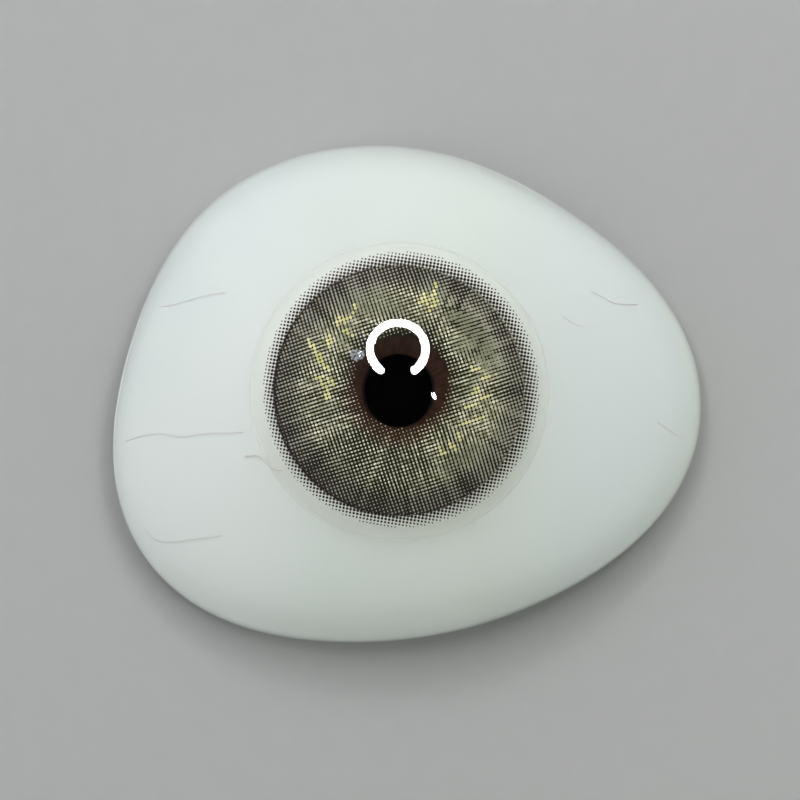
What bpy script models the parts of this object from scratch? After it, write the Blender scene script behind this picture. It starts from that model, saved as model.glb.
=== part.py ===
"""Artificial eye wearing a coloured soft contact lens.

The eye is a white acrylic shell, concave behind, with a painted iris disc let into its front. Red silk
threads lie on the white as veins, and a clear acrylic cap is moulded over all of it, with a bulge over the
iris as the cornea. The contact lens is a clear soft film that drapes over the cap and carries rings of ink.

Lengths are in metres. +Z points out of the front of the eye, and +X and +Y point right and up as seen from
the front. The origin lies on the plane that the rim rests on, under the middle of the outline. Most shapes
are worked out around the iris axis, which is off the middle, and then hung on an empty that stands on it.
"""
import math

import bmesh
import bpy

# Outline of the eye: the distance from the iris axis to the edge at each clock hour, seen from the front
REACH_AT_12 = 0.0117
REACH_AT_1 = 0.0115
REACH_AT_2 = 0.0127
REACH_AT_3 = 0.0145
REACH_AT_4 = 0.01365
REACH_AT_5 = 0.01205
REACH_AT_6 = 0.01195
REACH_AT_7 = 0.01335
REACH_AT_8 = 0.0146
REACH_AT_9 = 0.0134
REACH_AT_10 = 0.0128
REACH_AT_11 = 0.0124

# Front of the eye
SCLERA_RADIUS = 0.0165
SCLERA_TOP = 0.0094
CORNEA_RADIUS = 0.0088
LIMBUS_ROUNDING = 0.00012
FLANK_FULLNESS = 0.7
ROLL_FULLNESS = 0.8
CAP_THICKNESS = 0.0008
CAP_EDGE = 0.00015
CAP_GAP = 0.00015

# Rim and back of the shell
RIM_HEIGHT = 0.0010
RIM_ARCH = 0.0010
RIM_FEET = 3
RIM_OUTER_ROUND = 0.0008
RIM_LAND = 0.0003
RIM_INNER_ROUND = 0.0005
RIM_INNER_HEIGHT = 0.0006
BACK_STEEPNESS = 1.0
BACK_FULLNESS = 0.36
CENTRE_WEB = 0.0009

# Iris and pupil
IRIS_RADIUS = 0.00595
IRIS_THICKNESS = 0.0005
IRIS_SETBACK = 0.0001
PUPIL_WIDTH = 0.0032
PUPIL_HEIGHT = 0.00345
PUPIL_THICKNESS = 0.00015
PUPIL_CHAMFER = 0.00003
FIT_GAP = 0.00005

# Silk threads
THREAD_DIAMETER = 0.00007
THREAD_GAP = 0.00004

# Contact lens and its ink
LENS_DIAMETER = 0.0142
LENS_THICKNESS = 0.0001
LENS_EDGE = 0.00004
LENS_BEVEL = 0.0006
LENS_MARGIN = 0.0005
LENS_SHIFT_X = 0.00003
LENS_SHIFT_Y = -0.00006
INK_SHIFT_X = 0.00018
INK_SHIFT_Y = 0.00005
CLEAR_EDGE = 0.00052
LIMBAL_INK_WIDTH = 0.00125
INK_OPENING = 0.0048
INK_THICKNESS = 0.000025
INK_GAP = 0.00003
TEAR_FILM = 0.00004

# Fineness of the meshes
SEGMENTS = 48
FLECK_SEGMENTS = 16
SHOULDER_STEPS = 8
RIM_STEPS = 4
BACK_STEPS = 9
CORNEA_STEPS = 12
WHITE_STEPS = 3
LENS_STEPS = 8
BAND_STEPS = 3
THREAD_STEPS = 3

REACH_BY_HOUR = {
    12: REACH_AT_12, 1: REACH_AT_1, 2: REACH_AT_2, 3: REACH_AT_3,
    4: REACH_AT_4, 5: REACH_AT_5, 6: REACH_AT_6, 7: REACH_AT_7,
    8: REACH_AT_8, 9: REACH_AT_9, 10: REACH_AT_10, 11: REACH_AT_11,
}

# Each thread's route: clock hour, and share of the way from the iris recess (0) to the edge of the white (1)
THREAD_ROUTES = {
    "vein_thread_left_upper": ((9.64, 0.95), (9.67, 0.88), (9.75, 0.78), (9.86, 0.67), (9.99, 0.53)),
    "vein_thread_left_middle": ((8.65, 0.95), (8.67, 0.76), (8.6, 0.6), (8.58, 0.42), (8.5, 0.21)),
    "vein_thread_left_curl": ((8.23, 0.24), (8.18, 0.17), (8.06, 0.14), (7.92, 0.12), (7.86, 0.09)),
    "vein_thread_left_lower": ((8.04, 0.94), (7.95, 0.92), (7.87, 0.84), (7.8, 0.73), (7.69, 0.6)),
    "vein_thread_right_long": ((2.09, 0.66), (2.19, 0.7), (2.27, 0.74), (2.34, 0.86)),
    "vein_thread_right_short": ((2.19, 0.38), (2.31, 0.42), (2.37, 0.47)),
    "vein_thread_right_edge": ((3.23, 0.78), (3.28, 0.86), (3.31, 0.92)),
}

# Each fleck of ink: clock hour, where it starts and ends across the colour ring (0 to 1), and its angle
FLECKS = {
    "fleck_print_top": (0.6, 0.45, 0.85, 8),
    "fleck_print_right": (3.3, 0.32, 0.58, 26),
    "fleck_print_lower_right": (4.5, 0.34, 0.66, 12),
    "fleck_print_left": (9.3, 0.35, 0.66, 12),
    "fleck_print_upper_left": (9.95, 0.45, 0.82, 12),
    "fleck_print_top_left": (10.7, 0.34, 0.72, 9),
}

WHITE = (0.72, 0.77, 0.73)
BROWN = (0.048, 0.016, 0.009)
BLACK = (0.002, 0.002, 0.002)
CLEAR = (0.93, 0.96, 0.93)
VEIN_RED = (0.42, 0.16, 0.12)
INK_BLACK = (0.021, 0.013, 0.017)
INK_OLIVE = (0.27, 0.29, 0.17)
INK_YELLOW = (0.62, 0.58, 0.22)


def clock_angle(hour):
    """Angle from +X, anticlockwise, of a clock hour as seen from the front."""
    return math.radians(90 - 30 * hour)


def edge_reach(angle):
    """Distance from the iris axis to the edge: the smoothest closed wave through the hour marks."""
    hours = len(REACH_BY_HOUR)
    reach = 0.0
    for hour, mark in REACH_BY_HOUR.items():
        turn = angle - clock_angle(hour)
        weight = 1 + math.cos(turn * hours / 2)
        weight += 2 * sum(math.cos(turn * wave) for wave in range(1, hours // 2))
        reach += mark * weight / hours
    return reach


def segment_angles(count=SEGMENTS):
    """The angles of a ring's points."""
    return [math.tau * i / count for i in range(count)]


def even_steps(low, high, count):
    """count + 1 values from low to high."""
    return [low + (high - low) * i / count for i in range(count + 1)]


def outline_middle():
    """Middle of the box around the outline, seen from the iris axis."""
    points = [(edge_reach(a) * math.cos(a), edge_reach(a) * math.sin(a)) for a in segment_angles()]
    xs, ys = zip(*points)
    return (min(xs) + max(xs)) / 2, (min(ys) + max(ys)) / 2


# The eye is round out to just past the contact lens, and follows its outline from there
ROUND_ZONE = LENS_DIAMETER / 2 + LENS_MARGIN
RECESS_RADIUS = IRIS_RADIUS + FIT_GAP
EDGE_LAP = CAP_EDGE + CAP_GAP


def sphere_drop(radius, rho):
    """How far a sphere has fallen from its top at a distance from its axis."""
    return radius - math.sqrt(max(radius**2 - rho**2, 0))


def sclera_height(rho):
    """Front of the clear cap, without the cornea, near the iris."""
    return SCLERA_TOP - sphere_drop(SCLERA_RADIUS, rho)


def white_height(rho):
    """Front of the white shell near the iris."""
    return sclera_height(rho) - CAP_THICKNESS


def front_height(rho):
    """Front of the clear cap near the iris: the higher of sclera and cornea, with a rounded meeting."""
    sclera = sclera_height(rho)
    cornea_foot = sclera_height(IRIS_RADIUS)
    cornea = cornea_foot + sphere_drop(CORNEA_RADIUS, IRIS_RADIUS) - sphere_drop(CORNEA_RADIUS, rho)
    return (sclera + cornea) / 2 + math.hypot((sclera - cornea) / 2, LIMBUS_ROUNDING)


IRIS_TOP = white_height(RECESS_RADIUS) - IRIS_SETBACK
RECESS_FLOOR = IRIS_TOP - IRIS_THICKNESS - FIT_GAP
BACK_TOP = RECESS_FLOOR - CENTRE_WEB


def rim_lift(angle):
    """Height of the rim's lowest line: it arches between the feet that the eye rests on."""
    return RIM_ARCH * (1 - math.cos(RIM_FEET * angle)) / 2


def bezier(points, share):
    """A point on the cubic curve with these four corners."""
    weights = ((1 - share) ** 3, 3 * share * (1 - share) ** 2, 3 * share**2 * (1 - share), share**3)
    return tuple(sum(w * p[axis] for w, p in zip(weights, points)) for axis in (0, 1))


def shoulder(start_height, end_rho, end_height, share):
    """The front from the round zone to the rim.

    It leaves along the sphere's slope, arrives upright, and bulges towards the corner where the two meet.
    """
    slope = ROUND_ZONE / math.sqrt(max(SCLERA_RADIUS**2 - ROUND_ZONE**2, ROUND_ZONE**2 / 9))
    run = end_rho - ROUND_ZONE
    corner_height = max(start_height - slope * run, end_height)
    corners = (
        (ROUND_ZONE, start_height),
        (ROUND_ZONE + FLANK_FULLNESS * run, start_height + FLANK_FULLNESS * (corner_height - start_height)),
        (end_rho, end_height + ROLL_FULLNESS * (corner_height - end_height)),
        (end_rho, end_height),
    )
    return bezier(corners, share)


def white_shoulder(angle, share):
    """Front of the white shell outside the round zone."""
    seat = RIM_HEIGHT + rim_lift(angle)
    return shoulder(white_height(ROUND_ZONE), edge_reach(angle) - EDGE_LAP, seat, share)


def cap_underside(angle, share):
    """Inner wall of the clear cap outside the round zone."""
    seat = RIM_HEIGHT + rim_lift(angle) + CAP_GAP
    return shoulder(white_height(ROUND_ZONE) + CAP_GAP, edge_reach(angle) - CAP_EDGE, seat, share)


def cap_shoulder(angle, share):
    """Outer wall of the clear cap outside the round zone."""
    seat = RIM_HEIGHT + rim_lift(angle) + CAP_GAP
    return shoulder(front_height(ROUND_ZONE), edge_reach(angle), seat, share)


def white_surface(angle, rho):
    """Height of the white shell's front at any place between the recess and the edge."""
    if rho <= ROUND_ZONE:
        return white_height(rho)
    low, high = 0.0, 1.0
    while high - low > 1e-5:
        middle = (low + high) / 2
        if white_shoulder(angle, middle)[0] < rho:
            low = middle
        else:
            high = middle
    return white_shoulder(angle, low)[1]


def rim_outside(angle, share):
    """The rim's outer quarter round, from the cap's seat down to the land."""
    turn = share * math.pi / 2
    height = rim_lift(angle) + RIM_HEIGHT * (1 - math.sin(turn))
    return edge_reach(angle) - RIM_OUTER_ROUND * (1 - math.cos(turn)), height


def rim_inside(angle, share):
    """The rim's inner quarter round, from the land up to the back."""
    turn = share * math.pi / 2
    start = edge_reach(angle) - RIM_OUTER_ROUND - RIM_LAND
    height = rim_lift(angle) + RIM_INNER_HEIGHT * (1 - math.cos(turn))
    return start - RIM_INNER_ROUND * math.sin(turn), height


def back_surface(angle, share):
    """The hollow back, from the rim up to its top on the iris axis."""
    rho, height = rim_inside(angle, 1)
    rise = BACK_TOP - height
    handle = BACK_FULLNESS * math.hypot(rho, rise)
    corners = (
        (rho, height),
        (rho - handle * math.cos(BACK_STEEPNESS), height + handle * math.sin(BACK_STEEPNESS)),
        (handle, BACK_TOP),
        (0, BACK_TOP),
    )
    return bezier(corners, share)


def ring(meridian, share):
    """A closed ring of points, one on each meridian, at the same share of the way along."""
    points = []
    for angle in segment_angles():
        rho, height = meridian(angle, share)
        points.append((rho * math.cos(angle), rho * math.sin(angle), height))
    return points


def round_ring(rho, height):
    """A ring of the round zone."""
    return ring(lambda angle, share: (rho, height), 0)


def closed_skin(name, rings, wrap=False):
    """One closed body drawn through rings of points. A ring of one point closes an end."""
    bm = bmesh.new()
    loops = [[bm.verts.new(point) for point in points] for points in rings]
    followers = loops[1:] + loops[:1] if wrap else loops[1:]
    count = max(len(points) for points in rings)
    for loop, follower in zip(loops, followers):
        for i in range(count):
            j = (i + 1) % count
            corners = (
                loop[i % len(loop)], follower[i % len(follower)],
                follower[j % len(follower)], loop[j % len(loop)],
            )
            bm.faces.new(dict.fromkeys(corners))
    bmesh.ops.recalc_face_normals(bm, faces=bm.faces)
    mesh = bpy.data.meshes.new(name)
    bm.to_mesh(mesh)
    bm.free()
    return mesh


def plastic(name, colour, roughness, clear=False):
    """A material for one piece. The clear ones let light through."""
    material = bpy.data.materials.new(name)
    material.use_nodes = True
    material.diffuse_color = (*colour, 0.35 if clear else 1)
    shader = material.node_tree.nodes["Principled BSDF"]
    shader.inputs["Base Color"].default_value = (*colour, 1)
    shader.inputs["Roughness"].default_value = roughness
    shader.inputs["Metallic"].default_value = 0
    if clear:
        shader.inputs["Transmission Weight"].default_value = 1
    return material


def add_piece(name, data, material, parent, collection):
    """Put a piece in the scene and give it its material."""
    data.materials.append(material)
    piece = bpy.data.objects.new(name, data)
    collection.objects.link(piece)
    piece.parent = parent
    if isinstance(data, bpy.types.Mesh):
        data.shade_smooth()
        data.set_sharp_from_angle(angle=math.radians(40))
    return piece


def add_axis(name, x, y, parent, collection):
    """An empty that stands on an axis of the object."""
    axis = bpy.data.objects.new(name, None)
    axis.empty_display_size = 0.002
    axis.location = (x, y, 0)
    axis.parent = parent
    collection.objects.link(axis)
    return axis


def make_scleral_shell(parent, collection):
    """The white body: recess for the iris, domed front, seat for the cap, rounded rim and hollow back."""
    rings = [[(0, 0, RECESS_FLOOR)], round_ring(RECESS_RADIUS, RECESS_FLOOR)]
    for rho in even_steps(RECESS_RADIUS, ROUND_ZONE, WHITE_STEPS):
        rings.append(round_ring(rho, white_height(rho)))
    for share in even_steps(0, 1, SHOULDER_STEPS)[1:]:
        rings.append(ring(white_shoulder, share))
    for share in even_steps(0, 1, RIM_STEPS):
        rings.append(ring(rim_outside, share))
    for share in even_steps(0, 1, RIM_STEPS - 1):
        rings.append(ring(rim_inside, share))
    for share in even_steps(0, 1, BACK_STEPS)[1:-1]:
        rings.append(ring(back_surface, share))
    rings.append([(0, 0, BACK_TOP)])
    mesh = closed_skin("scleral_shell", rings)
    return add_piece("scleral_shell", mesh, plastic("white_acrylic", WHITE, 0.2), parent, collection)


def make_clear_cap(parent, collection):
    """The clear cap: a plug over the iris, an even wall over the white, and the cornea's bulge."""
    plug_bottom = IRIS_TOP + FIT_GAP
    rings = [[(0, 0, plug_bottom)], round_ring(IRIS_RADIUS, plug_bottom)]
    for rho in even_steps(IRIS_RADIUS, ROUND_ZONE, WHITE_STEPS):
        rings.append(round_ring(rho, white_height(rho) + CAP_GAP))
    for share in even_steps(0, 1, SHOULDER_STEPS)[1:]:
        rings.append(ring(cap_underside, share))
    for share in reversed(even_steps(0, 1, SHOULDER_STEPS)[1:]):
        rings.append(ring(cap_shoulder, share))
    for rho in reversed(even_steps(0, ROUND_ZONE, CORNEA_STEPS)[1:]):
        rings.append(round_ring(rho, front_height(rho)))
    rings.append([(0, 0, front_height(0))])
    mesh = closed_skin("clear_cap", rings)
    return add_piece("clear_cap", mesh, plastic("clear_acrylic", CLEAR, 0.03, clear=True), parent, collection)


def turned_disc(name, radius, top, thickness, material, parent, collection):
    """A flat disc turned from its half profile."""
    profile = bpy.data.meshes.new(name)
    corners = [(0, 0, top), (radius, 0, top), (radius, 0, top - thickness), (0, 0, top - thickness)]
    profile.from_pydata(corners, [(0, 1), (1, 2), (2, 3)], [])
    disc = add_piece(name, profile, material, parent, collection)
    turning = disc.modifiers.new("turning", "SCREW")
    turning.steps = SEGMENTS
    turning.render_steps = SEGMENTS
    turning.use_merge_vertices = True
    turning.merge_threshold = 1e-6
    return disc


def oval_plug(name, width, height, top, thickness):
    """A low oval cylinder."""
    bm = bmesh.new()
    bmesh.ops.create_cone(
        bm, cap_ends=True, segments=SEGMENTS, radius1=0.5, radius2=0.5, depth=thickness)
    bmesh.ops.scale(bm, vec=(width, height, 1), verts=bm.verts)
    bmesh.ops.translate(bm, vec=(0, 0, top - thickness / 2), verts=bm.verts)
    mesh = bpy.data.meshes.new(name)
    bm.to_mesh(mesh)
    bm.free()
    return mesh


def make_iris_disc(parent, collection, cutters):
    """The painted disc that lies in the recess, with a shallow oval well for the pupil."""
    paint = plastic("iris_brown", BROWN, 0.45)
    disc = turned_disc("iris_disc", IRIS_RADIUS, IRIS_TOP, IRIS_THICKNESS, paint, parent, collection)
    well_depth = PUPIL_THICKNESS + FIT_GAP
    well = oval_plug(
        "pupil_well", PUPIL_WIDTH + 2 * FIT_GAP, PUPIL_HEIGHT + 2 * FIT_GAP,
        IRIS_TOP + well_depth, 2 * well_depth)
    cutter = bpy.data.objects.new("pupil_well", well)
    cutter.hide_render = True
    cutter.display_type = "WIRE"
    cutter.parent = parent
    cutters.objects.link(cutter)
    sinking = disc.modifiers.new("well", "BOOLEAN")
    sinking.operation = "DIFFERENCE"
    sinking.object = cutter
    return disc


def make_pupil_disc(parent, collection):
    """The black oval disc, flush with the iris disc, with its edges broken."""
    mesh = oval_plug("pupil_disc", PUPIL_WIDTH, PUPIL_HEIGHT, IRIS_TOP, PUPIL_THICKNESS)
    disc = add_piece("pupil_disc", mesh, plastic("pupil_black", BLACK, 0.3), parent, collection)
    edge = disc.modifiers.new("edge", "BEVEL")
    edge.width = PUPIL_CHAMFER
    edge.segments = 1
    edge.limit_method = "ANGLE"
    return disc


def between(a, b, c, d, share):
    """A smooth value between b and c, which leaves towards them as a and d ask (Catmull-Rom)."""
    return 0.5 * (2 * b + (c - a) * share + (2 * a - 5 * b + 4 * c - d) * share**2
                  + (3 * b - a - 3 * c + d) * share**3)


def smooth_route(route, steps):
    """Points along a smooth curve through a route's own points."""
    ends = (route[0], *route, route[-1])
    points = []
    for a, b, c, d in zip(ends, ends[1:], ends[2:], ends[3:]):
        for i in range(steps):
            points.append(tuple(between(*values, i / steps) for values in zip(a, b, c, d)))
    return [*points, route[-1]]


def make_vein_thread(name, route, material, parent, collection):
    """A silk thread that lies on the white under the cap."""
    curve = bpy.data.curves.new(name, "CURVE")
    curve.dimensions = "3D"
    curve.bevel_depth = THREAD_DIAMETER / 2
    curve.bevel_resolution = 1
    curve.use_fill_caps = True
    points = smooth_route(route, THREAD_STEPS)
    spline = curve.splines.new("POLY")
    spline.points.add(len(points) - 1)
    for point, (hour, share) in zip(spline.points, points):
        angle = clock_angle(hour)
        rho = RECESS_RADIUS + share * (edge_reach(angle) - EDGE_LAP - RECESS_RADIUS)
        height = white_surface(angle, rho) + THREAD_GAP + THREAD_DIAMETER / 2
        point.co = (rho * math.cos(angle), rho * math.sin(angle), height, 1)
    return add_piece(name, curve, material, parent, collection)


def drape(x, y, lift):
    """A point that lies a given height over the cap's front."""
    return x, y, front_height(math.hypot(x, y)) + lift


def draped_ring(centre, rho, lift, count=SEGMENTS):
    """A circle that lies over the cap's front, around its own centre."""
    return [drape(centre[0] + rho * math.cos(a), centre[1] + rho * math.sin(a), lift)
            for a in segment_angles(count)]


# Heights over the cap's front of what lies on it, one over the other
RING_INK_LIFT = TEAR_FILM
FLECK_LIFT = RING_INK_LIFT + INK_THICKNESS + INK_GAP
LENS_LIFT = FLECK_LIFT + INK_THICKNESS + INK_GAP

LENS_RADIUS = LENS_DIAMETER / 2
INK_CENTRE = (INK_SHIFT_X, INK_SHIFT_Y)
INK_DRIFT = math.hypot(INK_SHIFT_X - LENS_SHIFT_X, INK_SHIFT_Y - LENS_SHIFT_Y)
LIMBAL_OUTER = LENS_RADIUS - CLEAR_EDGE
LIMBAL_INNER = LIMBAL_OUTER - LIMBAL_INK_WIDTH
COLOUR_OUTER = LIMBAL_INNER - INK_GAP
COLOUR_INNER = INK_OPENING / 2


def lens_underside(rho):
    """Height of the film over the cap's front: it comes down over the ink to the tear film at its edge."""
    marks = (
        (LIMBAL_INNER, LENS_LIFT),
        (LIMBAL_OUTER + INK_DRIFT, FLECK_LIFT),
        (LENS_RADIUS, TEAR_FILM),
    )
    for (low, low_lift), (high, high_lift) in zip(marks, marks[1:]):
        if rho <= high:
            share = max(rho - low, 0) / (high - low)
            return low_lift + share * (high_lift - low_lift)
    return TEAR_FILM


def lens_thickness(rho):
    """The film is even, and thins to its edge over the bevel."""
    into_bevel = max(rho - (LENS_RADIUS - LENS_BEVEL), 0) / LENS_BEVEL
    return LENS_EDGE + (LENS_THICKNESS - LENS_EDGE) * math.sqrt(1 - min(into_bevel, 1) ** 2)


def make_contact_lens(parent, collection):
    """The clear soft film, draped over the cornea and the start of the white."""
    centre = (LENS_SHIFT_X, LENS_SHIFT_Y)
    middle = even_steps(0, LIMBAL_INNER, LENS_STEPS)[1:]
    over_ink = even_steps(LIMBAL_INNER, LIMBAL_OUTER + INK_DRIFT, BAND_STEPS)[1:]
    stations = [*middle, *over_ink, LENS_RADIUS]
    rings = [[drape(*centre, LENS_LIFT)]]
    for rho in stations:
        rings.append(draped_ring(centre, rho, lens_underside(rho)))
    for rho in reversed(stations):
        rings.append(draped_ring(centre, rho, lens_underside(rho) + lens_thickness(rho)))
    rings.append([drape(*centre, LENS_LIFT + lens_thickness(0))])
    mesh = closed_skin("contact_lens", rings)
    material = plastic("lens_hydrogel", CLEAR, 0.02, clear=True)
    return add_piece("contact_lens", mesh, material, parent, collection)


def make_ink_band(name, inner, outer, colour, parent, collection):
    """A ring of ink under the film."""
    stations = even_steps(inner, outer, BAND_STEPS)
    rings = [draped_ring(INK_CENTRE, rho, RING_INK_LIFT) for rho in stations]
    rings += [draped_ring(INK_CENTRE, rho, RING_INK_LIFT + INK_THICKNESS) for rho in reversed(stations)]
    mesh = closed_skin(name, rings, wrap=True)
    return add_piece(name, mesh, plastic(name, colour, 0.6), parent, collection)


def fleck_ring(hour, start, end, spread, size, lift):
    """One ring of a fleck: an oval in angle and radius around the fleck's middle."""
    width = COLOUR_OUTER - COLOUR_INNER
    middle = COLOUR_INNER + width * (start + end) / 2
    points = []
    for turn in segment_angles(FLECK_SEGMENTS):
        rho = middle + size * width * (end - start) / 2 * math.cos(turn)
        angle = clock_angle(hour) + size * math.radians(spread) / 2 * math.sin(turn)
        x = INK_CENTRE[0] + rho * math.cos(angle)
        y = INK_CENTRE[1] + rho * math.sin(angle)
        points.append(drape(x, y, lift))
    return points


def make_fleck(name, shape, material, parent, collection):
    """A fleck of yellow ink on the colour ring."""
    top = FLECK_LIFT + INK_THICKNESS
    rings = [fleck_ring(*shape, size, FLECK_LIFT) for size in (0, 0.5, 1)]
    rings += [fleck_ring(*shape, size, top) for size in (1, 0.5, 0)]
    rings[0] = rings[0][:1]
    rings[-1] = rings[-1][:1]
    mesh = closed_skin(name, rings)
    return add_piece(name, mesh, material, parent, collection)


def main():
    for old in list(bpy.data.objects):
        bpy.data.objects.remove(old, do_unlink=True)
    collection = bpy.data.collections.new("artificial_eye_with_contact_lens")
    cutters = bpy.data.collections.new("cutters")
    bpy.context.scene.collection.children.link(collection)
    bpy.context.scene.collection.children.link(cutters)

    middle_x, middle_y = outline_middle()
    iris_axis = add_axis("iris_axis", -middle_x, -middle_y, None, collection)

    make_scleral_shell(iris_axis, collection)
    make_iris_disc(iris_axis, collection, cutters)
    make_pupil_disc(iris_axis, collection)
    silk = plastic("vein_silk", VEIN_RED, 0.7)
    for name, route in THREAD_ROUTES.items():
        make_vein_thread(name, route, silk, iris_axis, collection)
    make_clear_cap(iris_axis, collection)
    make_ink_band("limbal_print", LIMBAL_INNER, LIMBAL_OUTER, INK_BLACK, iris_axis, collection)
    make_ink_band("colour_print", COLOUR_INNER, COLOUR_OUTER, INK_OLIVE, iris_axis, collection)
    yellow = plastic("fleck_ink", INK_YELLOW, 0.6)
    for name, shape in FLECKS.items():
        make_fleck(name, shape, yellow, iris_axis, collection)
    make_contact_lens(iris_axis, collection)


main()
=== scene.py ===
# %% [markdown]
# # An artificial eye that wears a printed contact lens
#
# The object is a white acrylic eye, moulded to fill an eye socket. Its front is covered by clear acrylic, and
# over that lies a soft contact lens whose colour is printed in thousands of tiny dots. The solid parts come
# ready made as a frame of plain bodies. This lesson gives them their smooth surfaces, the print and the
# finishes.

# %% Load the plain bodies
import math

import bpy
import numpy as np
from mathutils import Matrix, Vector, noise


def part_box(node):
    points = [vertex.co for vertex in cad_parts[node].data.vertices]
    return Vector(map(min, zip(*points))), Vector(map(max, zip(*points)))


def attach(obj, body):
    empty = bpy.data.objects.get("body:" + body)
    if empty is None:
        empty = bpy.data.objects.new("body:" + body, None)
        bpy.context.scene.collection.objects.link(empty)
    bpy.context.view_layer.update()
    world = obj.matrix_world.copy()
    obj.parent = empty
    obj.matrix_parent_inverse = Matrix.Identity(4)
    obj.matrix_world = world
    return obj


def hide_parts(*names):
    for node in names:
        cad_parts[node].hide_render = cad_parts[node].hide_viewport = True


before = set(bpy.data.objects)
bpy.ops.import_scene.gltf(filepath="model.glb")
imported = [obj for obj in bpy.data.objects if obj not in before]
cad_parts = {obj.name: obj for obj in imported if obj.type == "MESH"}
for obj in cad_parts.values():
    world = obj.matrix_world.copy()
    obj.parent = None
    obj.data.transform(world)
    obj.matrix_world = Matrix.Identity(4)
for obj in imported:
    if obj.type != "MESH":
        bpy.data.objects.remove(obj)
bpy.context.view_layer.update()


# %% [markdown]
# Everything on this eye is placed from the middle of its iris, because the iris isn't in the middle of the
# white. The middles of the iris, of the lens and of its print are read from the bodies themselves, so the new
# pieces lie where the solid ones do. The dots of the print sit a hair to the left of their solid ring.

# %% Find the middles
MM = 0.001
PRINT_SHIFT = 0.06 * MM


def middle_of(node):
    low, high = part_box(node)
    return (low[0] + high[0]) / 2, (low[1] + high[1]) / 2


IRIS_X, IRIS_Y = middle_of("iris_disc")
LENS_X, LENS_Y = middle_of("contact_lens")
PRINT_X, PRINT_Y = middle_of("colour_print")
PRINT_X -= PRINT_SHIFT
print("iris middle in mm:", round(IRIS_X / MM, 3), round(IRIS_Y / MM, 3))

# %% [markdown]
# The front of the clear acrylic is a large sphere with a smaller one standing out of it, as the cornea does on
# a living eye. Where the two meet there is a soft valley. This function gives the height of that front at any
# distance from the middle of the iris, and the lens and its dots are laid on it.

# %% The shape of the front
SCLERA_RADIUS = 16.5 * MM
SCLERA_TOP = 9.4 * MM
CORNEA_RADIUS = 8.8 * MM
IRIS_RADIUS = 5.95 * MM
LIMBUS_ROUNDING = 0.12 * MM


def front_height(rho):
    def drop(radius):
        return radius - np.sqrt(np.maximum(radius**2 - rho**2, 0))

    sclera = SCLERA_TOP - drop(SCLERA_RADIUS)
    foot = math.sqrt(SCLERA_RADIUS**2 - IRIS_RADIUS**2) - SCLERA_RADIUS
    foot += CORNEA_RADIUS - math.sqrt(CORNEA_RADIUS**2 - IRIS_RADIUS**2)
    cornea = SCLERA_TOP + foot - drop(CORNEA_RADIUS)
    return (sclera + cornea) / 2 + np.hypot((sclera - cornea) / 2, LIMBUS_ROUNDING)


print("front of the cornea at", round(float(front_height(0.0)) / MM, 2), "mm")

# %% [markdown]
# Blender's operators act on whatever is selected, so the selection is kept under control. The first helper
# clears it, the second selects a single piece, and the third also goes into edit mode with all of the piece
# selected or none of it.

# %% Helpers for selecting


def nothing_selected():
    if bpy.context.object and bpy.context.object.mode != "OBJECT":
        bpy.ops.object.mode_set(mode="OBJECT")
    bpy.ops.object.select_all(action="DESELECT")


def only(piece):
    nothing_selected()
    piece.select_set(True)
    bpy.context.view_layer.objects.active = piece


def edit(piece, mode="FACE", action="SELECT"):
    only(piece)
    bpy.ops.object.mode_set(mode="EDIT")
    bpy.ops.mesh.select_mode(type=mode)
    bpy.ops.mesh.select_all(action=action)


def finish_edit():
    bpy.ops.object.mode_set(mode="OBJECT")


print("helpers for selecting are ready")

# %% [markdown]
# A new piece gets a name, and its place, turn and scale go into its mesh, so that its object stays at the
# origin. The dome and the print are worked out point by point, so two more helpers hand all the points of a
# piece to numpy and bring them back.

# %% Helpers for pieces and their points


def new_piece(name):
    piece = bpy.context.object
    piece.name = name
    piece.data.name = name
    return piece


def apply_place(piece):
    only(piece)
    bpy.ops.object.transform_apply(location=True, rotation=True, scale=True)


def apply_modifier(piece, modifier):
    only(piece)
    bpy.ops.object.modifier_apply(modifier=modifier.name)


def round_shading():
    """Shades the active piece smooth, apart from edges sharper than 50 degrees."""
    bpy.ops.object.shade_smooth_by_angle(angle=math.radians(50))


def triangles(piece):
    return sum(len(face.vertices) - 2 for face in piece.data.polygons)


def points_of(piece):
    flat = np.empty(len(piece.data.vertices) * 3)
    piece.data.vertices.foreach_get("co", flat)
    return flat.reshape(-1, 3)


def move_points(piece, points):
    piece.data.vertices.foreach_set("co", np.ascontiguousarray(points).ravel())
    piece.data.update()


print("helpers for points are ready")

# %% [markdown]
# Finishes are made of shader nodes. A sum written out in nodes is hard to read, so this small class wraps a
# node's output and lets sums be written as they are in school: `1 - mask * 0.5` then adds its own Math nodes.

# %% Sums on wires


class Wire:
    """A node's output that sums can be written on."""

    def __init__(self, nodes, socket):
        self.nodes = nodes
        self.socket = socket

    def __add__(self, other):
        return self.nodes.sum("ADD", self, other)

    def __sub__(self, other):
        return self.nodes.sum("SUBTRACT", self, other)

    def __rsub__(self, other):
        return self.nodes.sum("SUBTRACT", other, self)

    def __mul__(self, other):
        return self.nodes.sum("MULTIPLY", self, other)

    def __truediv__(self, other):
        return self.nodes.sum("DIVIDE", self, other)

    def __pow__(self, other):
        return self.nodes.sum("POWER", self, other)

    __radd__ = __add__
    __rmul__ = __mul__


print("wires can be added, subtracted, multiplied, divided and raised to a power")

# %% [markdown]
# The second class holds the nodes of a material or of the world, and adds any node in one line: its type, its
# settings, and the values or wires of its sockets. Blends, steps and distances are used so often that each has
# a name of its own.

# %% Nodes in one line


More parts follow.
